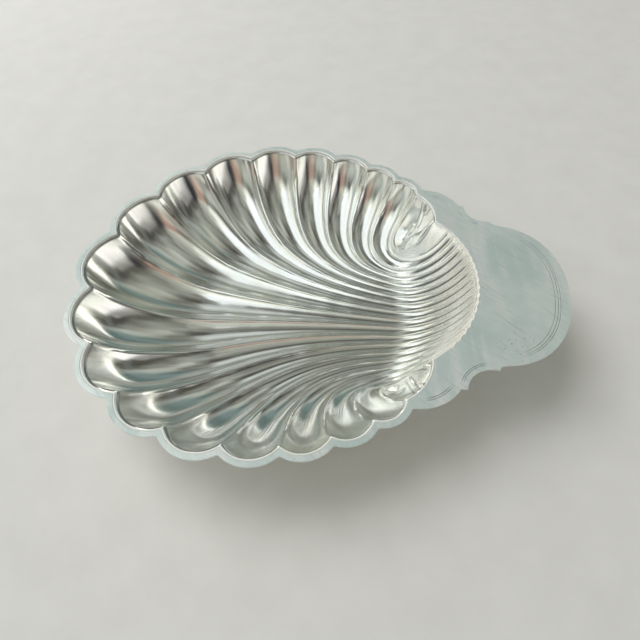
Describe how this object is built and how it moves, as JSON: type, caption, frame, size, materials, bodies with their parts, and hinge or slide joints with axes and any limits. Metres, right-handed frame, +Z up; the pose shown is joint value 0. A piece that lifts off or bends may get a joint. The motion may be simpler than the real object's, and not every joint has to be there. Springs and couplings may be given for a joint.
{
  "type": "shell dish",
  "caption": "Scallop shell dish in silver: a deep fluted bowl set in a flat lobed rim, which widens at the hinge into a broad round-ended handle plate.",
  "frame": {"origin": "on the table under the middle of the dish's length and width", "axes": "+X along the dish towards the tip of the handle plate, +Z up out of the bowl, +Y across, to the left of the handle for someone looking along +X"},
  "size_m": [0.2594, 0.208, 0.04],
  "materials": {
    "polished_silver": "polished silver, softly streaked by wear, a little tarnished in the grooves",
    "brushed_silver": "worn satin silver with fine brushing, scratches and a few small pits",
    "solder": "dull silver solder, left as it flowed"
  },
  "bodies": {
    "root": {"shell_bowl": "polished_silver", "rim_and_handle_plate": "brushed_silver", "solder_seam": "solder"}
  },
  "joints": []
}
